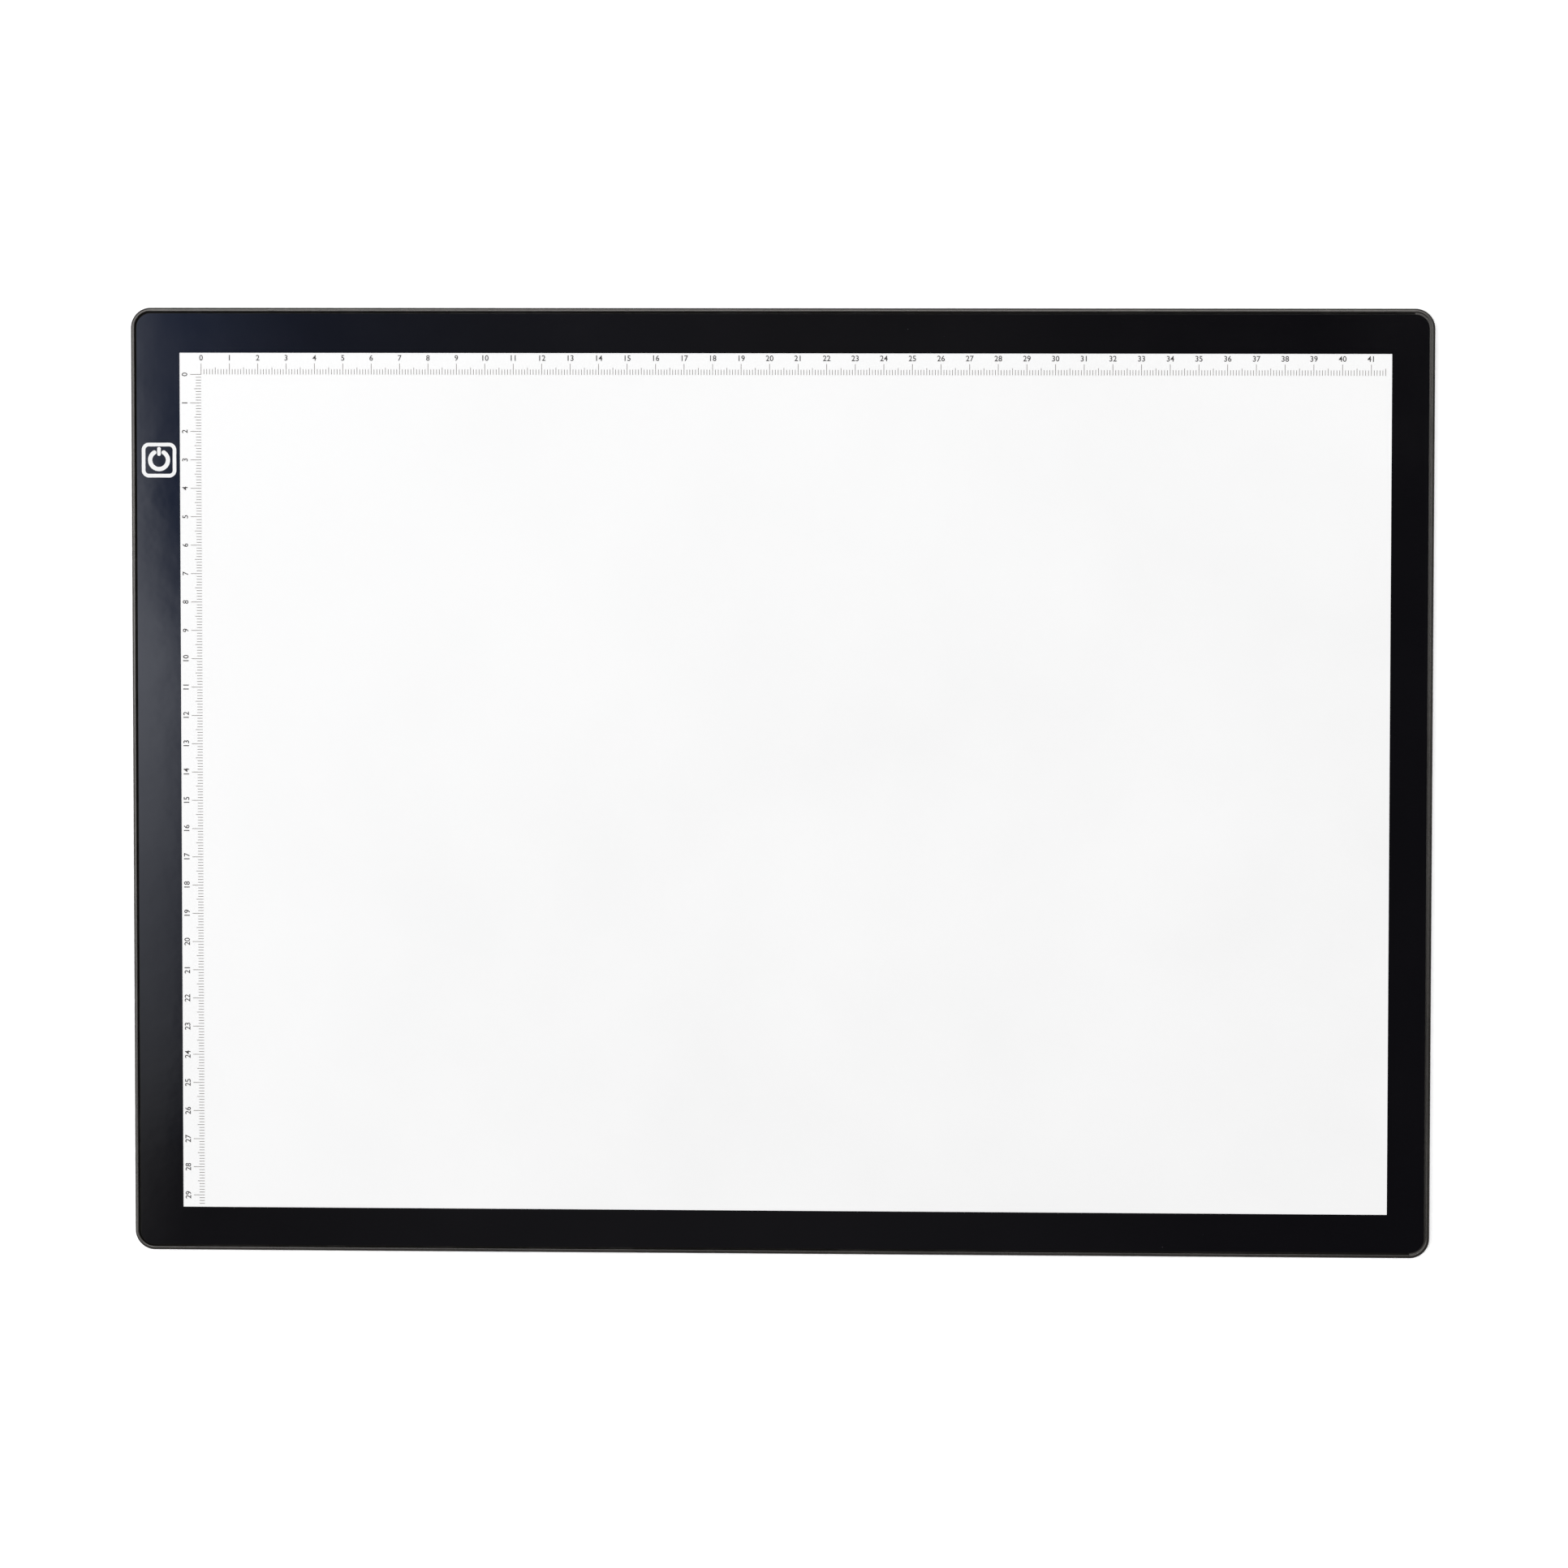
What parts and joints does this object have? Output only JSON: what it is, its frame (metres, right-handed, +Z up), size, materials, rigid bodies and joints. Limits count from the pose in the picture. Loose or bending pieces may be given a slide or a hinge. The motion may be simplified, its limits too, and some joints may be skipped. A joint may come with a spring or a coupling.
{
  "type": "light box",
  "caption": "Thin flat LED tracing light pad: black frame and border around a lit white drawing surface with centimetre scales, touch power key, USB inlet and rubber feet.",
  "frame": {"origin": "on the table, under the middle of the pad", "axes": "+X to the right along the long side, +Y to the rear edge with the long scale, +Z up out of the drawing surface"},
  "size_m": [0.457, 0.333, 0.0065],
  "materials": {
    "frame_plastic": "black moulded plastic, fine satin grain",
    "opal_acrylic": "milky white, lit from below",
    "border_gloss": "smooth black, high gloss",
    "white_ink": "printed white ink",
    "grey_ink": "printed dark grey ink",
    "grey_tape": "thin adhesive tape",
    "white_film": "matt white film",
    "clear_acrylic": "polished clear acrylic",
    "strip_film": "white lacquered flexible circuit",
    "led_body": "white housing with yellow phosphor",
    "circuit_board": "green lacquered glass-fibre board",
    "foam_tape": "double-sided foam",
    "plated_steel": "tin plated",
    "black_resin": "moulded black resin",
    "gold_contact": "gold plated",
    "capacitor_ceramic": "brown ceramic",
    "spring_steel": "bright drawn wire",
    "red_wire": "red insulation",
    "black_wire": "black insulation",
    "cover_plastic": "black moulded plastic, coarse matt grain",
    "screw_steel": "black nickel plated",
    "label_film": "plain satin silver film",
    "foot_rubber": "matt black rubber"
  },
  "bodies": {
    "root": {"frame": "frame_plastic", "front_panel": "opal_acrylic", "border_film": "border_gloss", "power_key_print": "white_ink", "scale_print": "grey_ink", "panel_tape": "grey_tape", "diffuser_sheet": "white_film", "light_guide": "clear_acrylic", "reflector_sheet": "white_film", "edge_reflector_left": "white_film", "edge_reflector_right": "white_film", "rear_led_strip": "strip_film", "front_led_strip": "strip_film", "rear_leds": "led_body", "front_leds": "led_body", "control_board": "circuit_board", "board_tape": "foam_tape", "usb_shell": "plated_steel", "usb_tongue": "black_resin", "usb_contacts": "gold_contact", "touch_controller": "black_resin", "dimmer_transistor": "black_resin", "board_capacitors": "capacitor_ceramic", "board_resistors": "black_resin", "touch_spring": "spring_steel", "rear_supply_wire": "red_wire", "front_supply_wire": "red_wire", "rear_return_wire": "black_wire", "front_return_wire": "black_wire", "back_cover": "cover_plastic", "cover_screws": "screw_steel", "blank_label": "label_film", "foot_front_left": "foot_rubber", "foot_front_middle": "foot_rubber", "foot_front_right": "foot_rubber", "foot_rear_left": "foot_rubber", "foot_rear_middle": "foot_rubber", "foot_rear_right": "foot_rubber"}
  },
  "joints": []
}
